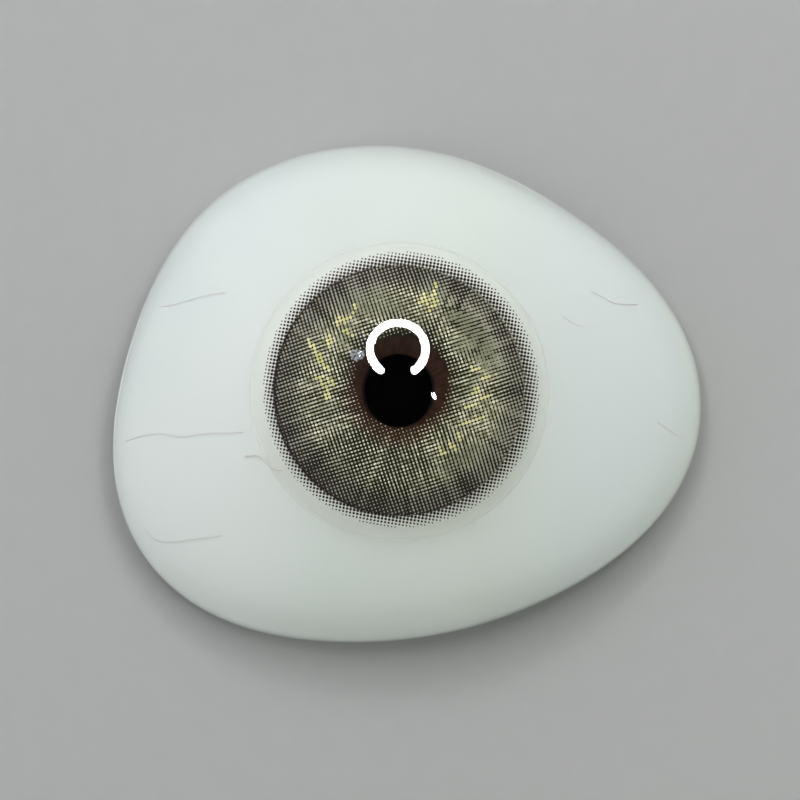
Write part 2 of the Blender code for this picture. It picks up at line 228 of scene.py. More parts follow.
class Nodes:
    """The nodes of a material or of the world around the scene."""

    def __init__(self, owner):
        owner.use_nodes = True
        self.tree = owner.node_tree

    def fill(self, node, inputs):
        for key, value in inputs.items():
            if isinstance(value, Wire):
                self.tree.links.new(value.socket, node.inputs[key])
            else:
                node.inputs[key].default_value = value

    def node(self, kind, settings=None, inputs=None, output=0):
        made = self.tree.nodes.new(kind)
        for key, value in (settings or {}).items():
            setattr(made, key, value)
        self.fill(made, inputs or {})
        return Wire(self, made.outputs[output])

    def sum(self, operation, first, second):
        return self.node("ShaderNodeMath", {"operation": operation}, {0: first, 1: second})

    def blend(self, factor, first, second):
        """The first colour where the factor is 0, and the second where it is 1."""
        first, second = (colour if isinstance(colour, Wire) else (*colour, 1) for colour in (first, second))
        colours = {0: factor, 6: first, 7: second}
        return self.node("ShaderNodeMix", {"data_type": "RGBA"}, colours, output=2)

    def apart(self, vector):
        return [self.node("ShaderNodeSeparateXYZ", None, {0: vector}, output=axis) for axis in range(3)]

    def step(self, value, low, high):
        """0 below low, 1 above high, and a smooth climb between them."""
        settings = {"interpolation_type": "SMOOTHSTEP"}
        return self.node("ShaderNodeMapRange", settings, {0: value, 1: low, 2: high})


print("nodes can be added in one line")

# %% [markdown]
# The third class is a finish: a material that starts with Blender's one general shader. Its patterns read the
# place on the piece itself (Object coordinates), so they stay on the piece from every side.

# %% A finish


class Finish(Nodes):
    """A material, which starts with one shader."""

    def __init__(self, name):
        self.material = bpy.data.materials.new(name)
        super().__init__(self.material)
        self.shader = self.tree.nodes["Principled BSDF"]
        self.output = self.tree.nodes["Material Output"]

    def place(self, x=0.0, y=0.0, stretch=(1, 1, 1)):
        """The place on the piece, measured from a point of its own."""
        coordinates = self.node("ShaderNodeTexCoord", output=3)
        inputs = {"Vector": coordinates, "Location": (-x * stretch[0], -y * stretch[1], 0), "Scale": stretch}
        return self.node("ShaderNodeMapping", None, inputs)

    def from_middle(self, x, y):
        """How far each place is from an upright line through this point."""
        across, up, _ = self.apart(self.place(x, y))
        return (across * across + up * up) ** 0.5, across, up

    def cloud(self, vector, scale, detail=2.0):
        settings = {"noise_dimensions": "3D"}
        return self.node("ShaderNodeTexNoise", settings, {"Vector": vector, "Scale": scale, "Detail": detail})

    def bump(self, height, distance, strength=1.0):
        inputs = {"Height": height, "Distance": distance, "Strength": strength}
        self.fill(self.shader, {"Normal": self.node("ShaderNodeBump", None, inputs)})

    def set(self, **values):
        self.fill(self.shader, {key.replace("_", " "): value for key, value in values.items()})

    def surface(self, wire):
        """Puts another shader in the place of the one the finish started with."""
        self.tree.links.new(wire.socket, self.output.inputs["Surface"])

    def put_on(self, piece):
        piece.data.materials.clear()
        piece.data.materials.append(self.material)


print("finishes can be made")

# %% [markdown]
# The photo is taken from straight above, so the camera looks straight down. It stands more than a metre away
# with a very long lens, which keeps the near cornea and the far edge of the white at one scale. The lens is
# worked out from the width that the photo takes in at the height of the outline.

# %% Camera
CAMERA_HEIGHT = 1.3
OUTLINE_HEIGHT = 4 * MM
PHOTO_WIDTH = 38.2 * MM
SENSOR_WIDTH = 36

camera_data = bpy.data.cameras.new("camera")
camera_data.sensor_width = SENSOR_WIDTH
camera_data.lens = SENSOR_WIDTH * (CAMERA_HEIGHT - OUTLINE_HEIGHT) / PHOTO_WIDTH
camera_data.clip_start = 0.01
camera = bpy.data.objects.new("camera", camera_data)
camera.location = (IRIS_X + 0.066 * MM, IRIS_Y - 0.446 * MM, CAMERA_HEIGHT)
bpy.context.scene.collection.objects.link(camera)
bpy.context.scene.camera = camera
bpy.context.scene.view_settings.view_transform = "Standard"
print("camera lens:", round(camera_data.lens), "mm")

# %% [markdown]
# A lamp here is a glowing shape. It is much brighter in mirrors than on the white, because a clear film mirrors
# only a few hundredths of the light, and the picture of the lamp in it is still pure white.

# %% The light of a lamp
LAMP_STRENGTH = 13.8
MIRRORED_STRENGTH = 75.0


def glow(name):
    finish = Finish(name)
    mirrored = finish.node("ShaderNodeLightPath", output=3)
    strength = mirrored * (MIRRORED_STRENGTH - LAMP_STRENGTH) + LAMP_STRENGTH
    inputs = {"Color": (1, 1, 1, 1), "Strength": strength}
    finish.surface(finish.node("ShaderNodeEmission", None, inputs))
    return finish


print("lamps glow at", LAMP_STRENGTH, "and at", MIRRORED_STRENGTH, "in mirrors")

# %% [markdown]
# A glossy dome is a mirror for its lamps. Where a lamp has to stand so that its picture lies at a chosen place
# on the dome comes from the mirror law: the dome leans there by half of the angle at which the lamp stands.

# %% Where a lamp stands
LAMP_DISTANCE = 0.25
DOME_RADIUS = 9.02 * MM


def aim_from_dome(lamp, mirror_x, mirror_y):
    """Stands a lamp where the dome shows it at this place from the middle, and turns it to the eye."""
    lean = 2 * math.asin(math.hypot(mirror_x, mirror_y) / DOME_RADIUS)
    azimuth = math.atan2(mirror_y, mirror_x)
    sideways = math.sin(lean)
    direction = Vector((sideways * math.cos(azimuth), sideways * math.sin(azimuth), math.cos(lean)))
    target = Vector((IRIS_X, IRIS_Y, float(front_height(0.0))))
    lamp.matrix_world = (
        Matrix.Translation(target + direction * LAMP_DISTANCE)
        @ Matrix.Rotation(azimuth - math.pi / 2, 4, "Z")
        @ Matrix.Rotation(-lean, 4, "X")
    )
    lamp.visible_camera = False
    print(lamp.name, "stands at", [round(value, 3) for value in lamp.location])


# %% [markdown]
# The bright open ring in the middle of the eye is the picture of a ring lamp that stands above its top edge, so
# that lamp is built as a real ring of light: a torus, with the faces of its gap deleted. The cut ends are
# closed, and a ball on each makes them round.

# %% Ring lamp
RING_RADIUS = 0.0760
TUBE_RADIUS = 0.0117
GAP_FROM, GAP_TO = 228.75, 307.5

nothing_selected()
bpy.ops.mesh.primitive_torus_add(
    major_radius=RING_RADIUS, minor_radius=TUBE_RADIUS, major_segments=96, minor_segments=12)
ring_lamp = new_piece("ring_lamp")
edit(ring_lamp, "FACE", "DESELECT")
finish_edit()
for face in ring_lamp.data.polygons:
    side = math.degrees(math.atan2(face.center.y, face.center.x)) % 360
    face.select = GAP_FROM < side < GAP_TO
bpy.ops.object.mode_set(mode="EDIT")
bpy.ops.mesh.delete(type="FACE")
bpy.ops.mesh.select_mode(type="EDGE")
bpy.ops.mesh.select_non_manifold()
bpy.ops.mesh.edge_face_add()
finish_edit()
for end in (math.radians(GAP_FROM), math.radians(GAP_TO)):
    tip = (RING_RADIUS * math.cos(end), RING_RADIUS * math.sin(end), 0)
    bpy.ops.mesh.primitive_uv_sphere_add(segments=16, ring_count=8, radius=TUBE_RADIUS, location=tip)
    ring_lamp.select_set(True)
    bpy.context.view_layer.objects.active = ring_lamp
    bpy.ops.object.join()
glow("ring_lamp_light").put_on(ring_lamp)
aim_from_dome(ring_lamp, -0.04 * MM, 2.05 * MM)

# %% [markdown]
# A second, much smaller lamp gives the bright speck at the edge of the pupil. Its picture is longer than it is
# wide and leans a little, so the lamp is a ball pressed flat and turned.

# %% Small lamp
nothing_selected()
bpy.ops.mesh.primitive_uv_sphere_add(segments=24, ring_count=12, radius=0.01)
small_lamp = new_piece("small_lamp")
small_lamp.scale = (1.1, 0.6, 0.3)
small_lamp.rotation_euler.z = math.radians(35)
apply_place(small_lamp)
glow("small_lamp_light").put_on(small_lamp)
aim_from_dome(small_lamp, 1.736 * MM, -0.254 * MM)

# %% [markdown]
# Dim, soft light from all around fills the shadows, as the walls of a pale room do. One side of the room is
# brighter and bluer, like the side of a window. Straight overhead it is dark, because there the glossy dome
# would mirror it into the middle of the eye, and close to the floor it is bright and even.

# %% Light from all around
FILL = 0.75
WALL_DARK, WALL_BRIGHT, NEAR_FLOOR = 0.46, 1.0, 1.5
WARM_SIDE = (0.95, 1.0, 0.86)
WINDOW_SIDE = (0.95, 0.98, 1.0)

world = bpy.data.worlds.new("studio")
bpy.context.scene.world = world
room = Nodes(world)
heading_x, heading_y, heading_z = room.apart(room.node("ShaderNodeTexCoord"))
window_side = room.step(heading_y * 0.32 - heading_x * 0.86, -0.9, 0.9)
overhead = room.step(heading_z, 0.80, 0.95)
near_floor = room.step(heading_z, 0.6, 0.05)
in_mirror = room.node("ShaderNodeLightPath", output=3)
around = window_side * (WALL_BRIGHT - WALL_DARK) + WALL_DARK
around = around * (1 - near_floor) + near_floor * NEAR_FLOOR
fill = around * (1 - overhead * 0.95) * (1 - in_mirror * 0.65) * FILL
tone = room.blend(window_side, WARM_SIDE, WINDOW_SIDE)
room.fill(room.tree.nodes["Background"], {"Color": tone, "Strength": fill})
print("fill strength:", FILL)

# %% [markdown]
# The eye lies on a plain pale floor. The floor is large, so that the other views see no edge of it.

# %% Floor
nothing_selected()
bpy.ops.mesh.primitive_plane_add(size=10)
floor = new_piece("floor")
paper = Finish("floor_paper")
grain = paper.cloud(paper.place(), 900.0)
paper.set(Base_Color=paper.blend(grain, (0.43, 0.43, 0.435), (0.45, 0.45, 0.455)), Roughness=0.9)
paper.put_on(floor)
print("floor laid")

# %% [markdown]
# The white shell's solid body is right but faceted, and so is the clear cap's. A copy is joined up, its
# triangles are paired into four-sided faces, and its sharp edges are creased. A Subdivision Surface modifier
# then rounds everything but those edges, which is quicker and safer than modelling the lopsided outline again.

# %% Smooth copies of solid bodies
SHARP = math.radians(50)
NEARLY_FLAT = math.radians(60)


def joined_copy(node, name):
    """A copy of a solid body with its loose triangles joined, left in edit mode with all of it selected."""
    nothing_selected()
    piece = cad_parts[node].copy()
    piece.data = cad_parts[node].data.copy()
    bpy.context.scene.collection.objects.link(piece)
    piece.name = name
    piece.data.name = name
    piece.hide_render = False
    edit(piece)
    bpy.ops.mesh.remove_doubles(threshold=1e-6)
    return piece


def smooth_copy(node, name, levels=2):
    piece = joined_copy(node, name)
    bpy.ops.mesh.tris_convert_to_quads(face_threshold=NEARLY_FLAT, shape_threshold=NEARLY_FLAT)
    bpy.ops.mesh.select_all(action="DESELECT")
    bpy.ops.mesh.select_mode(type="EDGE")
    bpy.ops.mesh.edges_select_sharp(sharpness=SHARP)
    bpy.ops.transform.edge_crease(value=1)
    finish_edit()
    rounding = piece.modifiers.new("rounding", "SUBSURF")
    rounding.levels = levels
    rounding.render_levels = levels
    apply_modifier(piece, rounding)
    round_shading()
    return piece


print("smooth copies can be made")

# %% [markdown]
# Subdivision pulls a curved wall in by a hair. This matters at the outline, where the shell's wall and the
# cap's come close together. So each wall is moved back out towards the piece's own outline, not at all at its
# shoulder and fully at its rim.

# %% Fill the walls out
SHOULDER = 6.75 * MM
RIM_TOP = 1.5 * MM
FACES_FULLY = 0.4


def around_iris(piece):
    """Each point's distance and direction from the middle of the iris, and how far it faces that way."""
    points = points_of(piece)
    normals = np.empty(len(points) * 3)
    piece.data.vertices.foreach_get("normal", normals)
    outward = points[:, :2] - (IRIS_X, IRIS_Y)
    rho = np.maximum(np.linalg.norm(outward, axis=1), 1e-9)
    outward /= rho[:, None]
    facing = (normals.reshape(-1, 3)[:, :2] * outward).sum(axis=1)
    return points, rho, outward, facing


def outline_reach(rho, outward):
    """The piece's own outline: how far it reaches in the direction of each point."""
    angle = np.degrees(np.arctan2(outward[:, 1], outward[:, 0])) % 360
    outermost = {}
    for index in np.argsort(rho):
        outermost[int(angle[index] / 2)] = index
    chosen = sorted(outermost.values(), key=lambda index: angle[index])
    return np.interp(angle, angle[chosen], rho[chosen], period=360)


def fill_wall(piece, most, share, side):
    """Moves the outer wall (side 1) or the inner wall (side -1) out by a share of the room, up to most."""
    points, rho, outward, facing = around_iris(piece)
    room_left = np.minimum(outline_reach(rho, outward) - rho, most) * share
    down = np.clip((SHOULDER - points[:, 2]) / (SHOULDER - RIM_TOP), 0, 1) ** 2
    on_side = np.clip(facing * side / FACES_FULLY, 0, 1)
    points[:, :2] += outward * (room_left * down * on_side)[:, None]
    move_points(piece, points)


print("walls can be filled out")

# %% [markdown]
# The white shell is the body of the eye. It is hollow behind, and thick enough to stay stiff.

# %% White shell
shell = smooth_copy("scleral_shell", "smooth_shell")
fill_wall(shell, 0.3 * MM, 0.9, 1)
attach(shell, "root")
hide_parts("scleral_shell")
print("white shell:", triangles(shell), "triangles")

# %% [markdown]
# The white isn't one flat colour. Soft clouds run through the acrylic, and a bluish cloud lies towards the
# upper
# left. The rest is painted light: both flanks are painted paler, the right one also bluer, so they stay bright
# where they turn away from the lamp; the thin edge at the rim is painted paler, a painted rim light; and the
# collar around the iris is painted paler to make up for the shade that the print and the lens cast on it. Each
# of these is a mask that blends one tone over the last. The shine comes from the clear cap above, so this
# finish is dull itself.

# %% White under the clear cap
white = Finish("white_acrylic_under_clear")
white_x, white_y, white_z = white.apart(white.place())
mottle = white.cloud(white.place(), 260.0, 3.0)
white_tone = white.blend(mottle, (0.71, 0.75, 0.735), (0.75, 0.79, 0.775))
# Painted light: the right flank is painted paler and bluer, so it stays bright where it turns from the lamp.
right_flank_painted_light = white.step(white_x, 3 * MM, 10 * MM)
white_tone = white.blend(right_flank_painted_light, white_tone, (0.745, 0.785, 0.815))
# Painted light: the left flank is painted paler, so it stays bright where it turns from the lamp.
left_flank_painted_light = white.step(white_x, -3 * MM, -9 * MM)
white_tone = white.blend(left_flank_painted_light, white_tone, (0.775, 0.81, 0.805))
blue_cloud = white.step(white_y * 0.6 - white_x * 0.7, 6 * MM, 13 * MM) * white.step(mottle, 0.2, 0.7)
white_tone = white.blend(blue_cloud, white_tone, (0.705, 0.765, 0.775))
# Painted rim light: the white low down at the rim is painted paler.
rim_painted_light = white.step(white_z, 3.0 * MM, 1.6 * MM)
white_tone = white.blend(rim_painted_light, white_tone, (0.83, 0.875, 0.865))
# Painted light: the collar around the iris is painted paler to make up for the shade the print and lens cast on
# it.
collar_painted_light = white.step(white.from_middle(IRIS_X, IRIS_Y)[0], 7.0 * MM, 6.2 * MM)
white_tone = white.blend(collar_painted_light, white_tone, (0.86, 0.89, 0.865))
white.set(Base_Color=white_tone, Roughness=0.6, Specular_IOR_Level=0.1)
white.put_on(shell)
print("white finish on", shell.name)

# %% [markdown]
# The rim and the hollow back have no clear cap over them. There the white itself is polished, with fine scuffs
# from handling, so the faces that look down and lie low get a finish of their own.

# %% Polished white at the rim and back
BACK_TOP = 6.6 * MM

bare = Finish("white_acrylic_polished")
scuffs = bare.cloud(bare.place(stretch=(1, 6, 1)), 1200.0, 4.0)
bare_mottle = bare.cloud(bare.place(), 260.0, 3.0)
bare.set(
    Base_Color=bare.blend(bare_mottle, (0.715, 0.755, 0.745), (0.745, 0.785, 0.775)),
    Roughness=bare.step(scuffs, 0.3, 0.8) * 0.15 + 0.12)
bare.bump(scuffs, 0.004 * MM)
shell.data.materials.append(bare.material)
for face in shell.data.polygons:
    face.material_index = 1 if face.normal.z < 0.02 and face.center.z < BACK_TOP else 0
print("finishes on the shell:", [material.name for material in shell.data.materials])

# %% [markdown]
# Clear acrylic in a thin wall hardly bends the light, so it is made as a film: most light goes straight
# through, and a share that grows at grazing angles is mirrored. The Fresnel node gives that share. The mirror
# belongs on the outer skin alone, so the inner faces get a finish that only lets light through.

# %% Clear finishes


def see_through(name, tint):
    inner = Finish(name)
    inner.tree.nodes.remove(inner.shader)
    through = inner.node("ShaderNodeBsdfTransparent", None, {"Color": (*tint, 1)})
    inner.surface(through)
    return inner, through


def clear_film(name, index, tint, roughness):
    film, through = see_through(name, tint)
    mirror = film.node("ShaderNodeBsdfGlossy", None, {"Color": (1, 1, 1, 1), "Roughness": roughness})
    share = film.node("ShaderNodeFresnel", None, {"IOR": index})
    from_behind = film.node("ShaderNodeNewGeometry", output=6)
    film.surface(film.node("ShaderNodeMixShader", None, {0: share * (1 - from_behind), 1: through, 2: mirror}))
    return film


def make_milky(film, share, colour):
    """Mixes a share of cloudy white into a clear film."""
    clear = Wire(film, film.output.inputs["Surface"].links[0].from_socket)
    milk = film.node("ShaderNodeBsdfDiffuse", None, {"Color": (*colour, 1)})
    film.surface(film.node("ShaderNodeMixShader", None, {0: share, 1: clear, 2: milk}))


polish = clear_film("clear_acrylic_skin", 1.49, (0.985, 0.99, 0.985), 0.03)
acrylic_inside, _ = see_through("clear_acrylic_inside", (1, 1, 1))
print("clear finishes:", polish.material.name, acrylic_inside.material.name)

# %% [markdown]
# The contact lens is clear too, and wet. Along its edge, where its wall is cut, a faint milky line shows how
# far it reaches.

# %% Wet lens finish
LENS_RADIUS = 7.1 * MM

wet = clear_film("wet_lens_skin", 1.42, (0.985, 0.98, 0.955), 0.03)
cut_edge = wet.step(wet.from_middle(LENS_X, LENS_Y)[0], LENS_RADIUS - 0.13 * MM, LENS_RADIUS - 0.03 * MM)
make_milky(wet, cut_edge * 0.1, (0.62, 0.64, 0.62))
lens_inside, _ = see_through("lens_inside", (1, 1, 1))
print("wet finishes:", wet.material.name, lens_inside.material.name)

# %% [markdown]
# The clear cap is smoothed in the same way as the shell. Under the contact lens its skin is wet and pressed
# to the lens, so it mirrors nothing there, and its faces inside that circle get the finish of the inside.

# %% Clear cap
RECESS_REACH = 7.6 * MM
BELOW_FRONT = 0.4 * MM

cap = smooth_copy("clear_cap", "smooth_cap")
fill_wall(cap, 0.15 * MM, 0.85, -1)
polish.put_on(cap)
cap.data.materials.append(acrylic_inside.material)
for face in cap.data.polygons:
    x, y, z = face.center
    rho = math.hypot(x - IRIS_X, y - IRIS_Y)
    under_lens = math.hypot(x - LENS_X, y - LENS_Y) < LENS_RADIUS
    in_recess = rho < RECESS_REACH and z < float(front_height(rho)) - BELOW_FRONT
    outside = face.normal.z > -0.2 and not in_recess
    face.material_index = 0 if outside and not under_lens else 1
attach(cap, "root")
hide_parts("clear_cap")
print("clear cap:", triangles(cap), "triangles")

# %% [markdown]
# The contact lens is a film a tenth of a millimetre thick. A filled circle is inset again and again, which
# gives rings, and each ring is then lowered onto the front of the eye. The outer rings settle closer to it than
# the middle does.

# %% Contact lens
LENS_RINGS = 56
FILM_LIFT = 0.15 * MM
SETTLE_FROM = 5.3 * MM
SETTLE_DEPTH = 0.11 * MM

nothing_selected()
bpy.ops.mesh.primitive_circle_add(
    vertices=160, radius=LENS_RADIUS, fill_type="NGON", location=(LENS_X, LENS_Y, 0))
lens = new_piece("worn_lens")
apply_place(lens)
edit(lens)
for ring in range(LENS_RINGS - 1):
    bpy.ops.mesh.inset(thickness=LENS_RADIUS / LENS_RINGS, use_even_offset=True)
bpy.ops.mesh.poke()
finish_edit()
points = points_of(lens)
rho = np.hypot(points[:, 0] - IRIS_X, points[:, 1] - IRIS_Y)
own_rho = np.hypot(points[:, 0] - LENS_X, points[:, 1] - LENS_Y)
settle = np.clip((own_rho - SETTLE_FROM) / (LENS_RADIUS - SETTLE_FROM), 0, 1)
points[:, 2] = front_height(rho) + FILM_LIFT - SETTLE_DEPTH * settle
move_points(lens, points)
print("contact lens is", round(points[:, 2].max() / MM, 2), "mm high")

# %% [markdown]
# So far the lens is a sheet. A Solidify modifier gives it a thickness, and can put another finish on the side
# that it adds: the outer face and the cut edge are wet, and the inner face only lets light through.

# %% Thickness of the lens
wall = lens.modifiers.new("wall", "SOLIDIFY")
wall.thickness = 0.06 * MM
wall.offset = 1
wall.material_offset = 1
wall.material_offset_rim = 0
wet.put_on(lens)
lens.data.materials.append(lens_inside.material)
apply_modifier(lens, wall)
round_shading()
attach(lens, "root")
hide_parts("contact_lens")
print("contact lens:", triangles(lens), "triangles")

# %% [markdown]
# A small bubble sits on the wet lens beside the bright ring. It is a sphere pressed flat and laid on the lens,
# and cloudy here and there, so it shows against the dots.

# %% Bubble
BUBBLE_X, BUBBLE_Y = IRIS_X - 1.96 * MM, IRIS_Y + 1.71 * MM
BUBBLE_LIFT = 0.24 * MM

nothing_selected()
bpy.ops.mesh.primitive_uv_sphere_add(
    segments=24, ring_count=12, radius=0.34 * MM, location=(BUBBLE_X, BUBBLE_Y, 0))
bubble = new_piece("bubble")
bubble.scale = (1, 0.9, 0.25)
apply_place(bubble)
points = points_of(bubble)
points[:, 2] += front_height(np.hypot(points[:, 0] - IRIS_X, points[:, 1] - IRIS_Y)) + BUBBLE_LIFT
move_points(bubble, points)
only(bubble)
bpy.ops.object.shade_smooth()
bubble_skin = clear_film("bubble_skin", 1.42, (0.93, 0.94, 0.96), 0.05)
foam = bubble_skin.step(bubble_skin.cloud(bubble_skin.place(), 6500.0), 0.42, 0.62)
make_milky(bubble_skin, foam * 0.5, (0.52, 0.55, 0.60))
bubble_skin.put_on(bubble)
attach(bubble, "root")
print("bubble:", triangles(bubble), "triangles")

# %% [markdown]
# The colour of the lens is printed in dots on a square grid, like a picture in a newspaper: large dots run
# together into a net, and small ones stand apart. One dot is modelled, and two Array modifiers repeat it into
# a square sheet, which is turned to the angle of the print.

# %% A sheet of dots
DOT_SIDES = 12
DOT_THICKNESS = 0.012 * MM


def dot_sheet(name, pitch, turn, reach):
    nothing_selected()
    bpy.ops.mesh.primitive_cylinder_add(vertices=DOT_SIDES, radius=pitch / 2, depth=DOT_THICKNESS)
    sheet = new_piece(name)
    count = 2 * math.ceil(reach / pitch) + 1
    for displace in ((pitch, 0, 0), (0, pitch, 0)):
        repeat = sheet.modifiers.new("repeat", "ARRAY")
        repeat.count = count
        repeat.use_relative_offset = False
        repeat.use_constant_offset = True
        repeat.constant_offset_displace = displace
        apply_modifier(sheet, repeat)
    middle = -(count - 1) / 2 * pitch
    sheet.location = (middle, middle, 0)
    apply_place(sheet)
    sheet.rotation_euler.z = turn
    apply_place(sheet)
    return sheet


print("a dot has", DOT_SIDES, "sides")

# %% [markdown]
# A flat sheet doesn't lie on a dome without creasing, so the sheet is bent: each dot keeps its distance along
# the surface, and comes closer to the middle as seen from above. Then the dots outside their ring are deleted,
# and each dot that is left gets its own size from a rule.

# %% Helpers for the print
SHEET_RADIUS = 12.5 * MM
SMALLEST_DOT = 0.12
MERGING = 0.28


def split_dots(sheet):
    """The points of each dot, its middle, and where that comes to lie on the bent sheet."""
    dots = points_of(sheet).reshape(-1, 2 * DOT_SIDES, 3)
    middles = dots.mean(axis=1)[:, :2]
    along = np.hypot(middles[:, 0], middles[:, 1])
    rho = SHEET_RADIUS * np.sin(np.minimum(along / SHEET_RADIUS, 1.5))
    return dots, middles, rho, np.arctan2(middles[:, 1], middles[:, 0])


def keep_dots(sheet, wanted):
    edit(sheet, "VERT", "DESELECT")
    finish_edit()
    sheet.data.vertices.foreach_set("select", np.repeat(~wanted, 2 * DOT_SIDES))
    bpy.ops.object.mode_set(mode="EDIT")
    bpy.ops.mesh.delete(type="VERT")
    finish_edit()


def print_dots(name, pitch, turn, size_rule, lift, merge_rule=None, reach=LENS_RADIUS):
    """A sheet of dots, each as large as size_rule(rho, angle) says, laid on the front of the eye.

    merge_rule gives 1 where the dots are drawn out along their rows, and -1 where along their columns.
    """
    sheet = dot_sheet(name, pitch, turn, reach)
    _, _, rho, angle = split_dots(sheet)
    keep_dots(sheet, size_rule(rho, angle) >= SMALLEST_DOT)
    dots, middles, rho, angle = split_dots(sheet)
    sizes = size_rule(rho, angle)
    merge = merge_rule(rho, angle) if merge_rule else np.zeros(len(dots))
    row = np.array((math.cos(turn), math.sin(turn)))
    column = np.array((-math.sin(turn), math.cos(turn)))
    offset = (dots[:, :, :2] - middles[:, None]) * sizes[:, None, None] * 2
    along_row = (offset @ row) * (1 + MERGING * merge)[:, None]
    along_column = (offset @ column) * (1 - MERGING * merge)[:, None]
    centre = np.stack((PRINT_X + rho * np.cos(angle), PRINT_Y + rho * np.sin(angle)), axis=1)
    dots[:, :, :2] = centre[:, None] + along_row[:, :, None] * row + along_column[:, :, None] * column
    from_iris = np.hypot(dots[:, :, 0] - IRIS_X, dots[:, :, 1] - IRIS_Y)
    dots[:, :, 2] += front_height(from_iris) + lift
    move_points(sheet, dots.reshape(-1, 3))
    print(name, "has", len(dots), "dots and", triangles(sheet), "triangles")
    return sheet


# %% [markdown]
# The dark ring goes on first. Its dots start tiny at the outer edge and grow inwards until they cover
# everything, which gives the soft dark edge that makes an iris look larger.

# %% Dark ring
DARK_PITCH = 0.18 * MM
DARK_TURN = math.radians(-10)
DARK_LIFT = 0.05 * MM
DARK_SIZES = {
    5.0: 0.0, 5.1: 0.28, 5.6: 0.355, 5.85: 0.43, 5.95: 0.45,
    6.1: 0.41, 6.25: 0.35, 6.4: 0.28, 6.55: 0.19, 6.62: 0.0,
}


def along_radius(rho, sizes):
    """Reads a table of sizes, whose keys are distances from the middle in millimetres."""
    return np.interp(rho, np.array(list(sizes)) * MM, list(sizes.values()))


def dark_size(rho, angle):
    return along_radius(rho, DARK_SIZES)


dark_ring = print_dots("dark_ring_dots", DARK_PITCH, DARK_TURN, dark_size, DARK_LIFT)
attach(dark_ring, "root")
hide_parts("limbal_print")

# %% [markdown]
# Over it comes the olive ring, which is full of life: streaks that run outwards like the fibres of an iris, a
# patch at the upper right where the dots run together, and dull clouds. Each of these is a small function of
# the distance and the direction from the middle.

# %% Streaks, patch and clouds
PATCH_MIDDLE = 4.45 * MM
PATCH_HEADING = math.radians(38)
PATCH_DEPTH = 0.8 * MM
PATCH_ANGLE = math.radians(34)
CLOUD_SHARE = {2.8: 0, 3.4: 1, 5.0: 1, 5.6: 0}


def streaks(rho, angle, across, along, seed):
    """Soft streaks that run outwards, from -1 to 1."""
    values = [
        noise.noise(Vector((math.cos(a) * across, math.sin(a) * across, r * along + seed)))
        for r, a in zip(rho, angle)
    ]
    return np.array(values)


def dense_patch(rho, angle):
    """1 in the middle of the patch where the dots run together, and 0 beyond its edge."""
    across = 1 - np.abs(rho - PATCH_MIDDLE) / PATCH_DEPTH
    around = 1 - np.abs(angle - PATCH_HEADING) / PATCH_ANGLE
    return np.clip(2 * across, 0, 1) * np.clip(2 * around, 0, 1)


def dull_cloud(rho, angle):
    """Clouds between the streaks, where the dots are larger and duller."""
    clouds = 3.2 * streaks(rho, angle, 2.6, 700, 15.0) + 0.1
    return along_radius(rho, CLOUD_SHARE) * np.clip(clouds, 0, 1)


def toward(angle, degrees, power):
    """1 in one direction, falling to 0 a quarter turn away, and the sooner the higher the power."""
    return np.clip(np.cos(angle - math.radians(degrees)), 0, 1) ** power


print("streaks, patch and clouds are ready")

# %% [markdown]
# The size of a dot starts from two tables, one for the whole ring and one for its opening, which sits a little
# above the middle. The dots are small at both edges, so the brown of the eye below shows at the inner one.
# Streaks make them swell and shrink, and they are larger on the right than at the lower left.

# %% Size of the olive dots
OPENING_RISE = 0.4 * MM
RING_SIZES = {3.3: 0.385, 4.3: 0.395, 4.9: 0.36, 5.3: 0.315, 5.9: 0.29, 6.02: 0.0}
OPENING_SIZES = {2.22: 0.0, 2.3: 0.14, 2.48: 0.23, 2.8: 0.31, 3.3: 0.385}


def olive_swell(rho, angle):
    swell = 0.05 * streaks(rho, angle, 3.2, 350, 4.0)
    swell += 0.08 * streaks(rho, angle, 9.0, 300, 9.0)
    swell += 0.10 * streaks(rho, angle, 24.0, 260, 1.0)
    swell += 0.05 * toward(angle, 345, 4) + 0.025 * toward(angle, 145, 4)
    swell -= 0.035 * toward(angle, 250, 1) + 0.03 * toward(angle, 240, 2)
    return swell


def olive_size(rho, angle):
    from_opening = np.hypot(rho * np.cos(angle), rho * np.sin(angle) - OPENING_RISE)
    level = np.minimum(along_radius(rho, RING_SIZES), along_radius(from_opening, OPENING_SIZES))
    dashes = dense_patch(rho, angle) * (0.08 + 0.45 * streaks(rho, angle, 30.0, 2400, 7.0))
    grown = np.clip(level + olive_swell(rho, angle), 0.15, 0.44)
    grown += np.maximum(dashes, -0.2) + 0.06 * dull_cloud(rho, angle)
    return np.where(level > 0, np.clip(grown, 0.13, 0.54), 0)


print("olive dots are sized from", len(RING_SIZES) + len(OPENING_SIZES), "values and the streaks")

# %% [markdown]
# Ink runs a little between neighbours. In some directions the dots join into rows, in others into columns, and
# this rule says where. How dull each dot is goes into an attribute of the mesh, which its ink reads later.

# %% Olive ring
OLIVE_PITCH = 0.178 * MM
OLIVE_TURN = math.radians(18)
OLIVE_LIFT = 0.075 * MM


def olive_merge(rho, angle):
    patches = 2.2 * streaks(rho, angle, 3.4, 900, 6.0)
    return np.clip(0.55 * np.cos(2 * (angle - OLIVE_TURN)) + patches, -1, 1)


olive_ring = print_dots("olive_ring_dots", OLIVE_PITCH, OLIVE_TURN, olive_size, OLIVE_LIFT, olive_merge)
across = points_of(olive_ring)[:, :2] - (PRINT_X, PRINT_Y)
rho, angle = np.hypot(across[:, 0], across[:, 1]), np.arctan2(across[:, 1], across[:, 0])
dullness = olive_ring.data.attributes.new("dullness", "FLOAT", "POINT")
dullness.data.foreach_set("value", np.maximum(dense_patch(rho, angle), 0.75 * dull_cloud(rho, angle)))
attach(olive_ring, "root")
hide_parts("colour_print")

# %% [markdown]
# Six flecks of yellow make the ring look alive. Each is a few broken strokes that run outwards. The strokes are
# given in millimetres from the middle of the print.

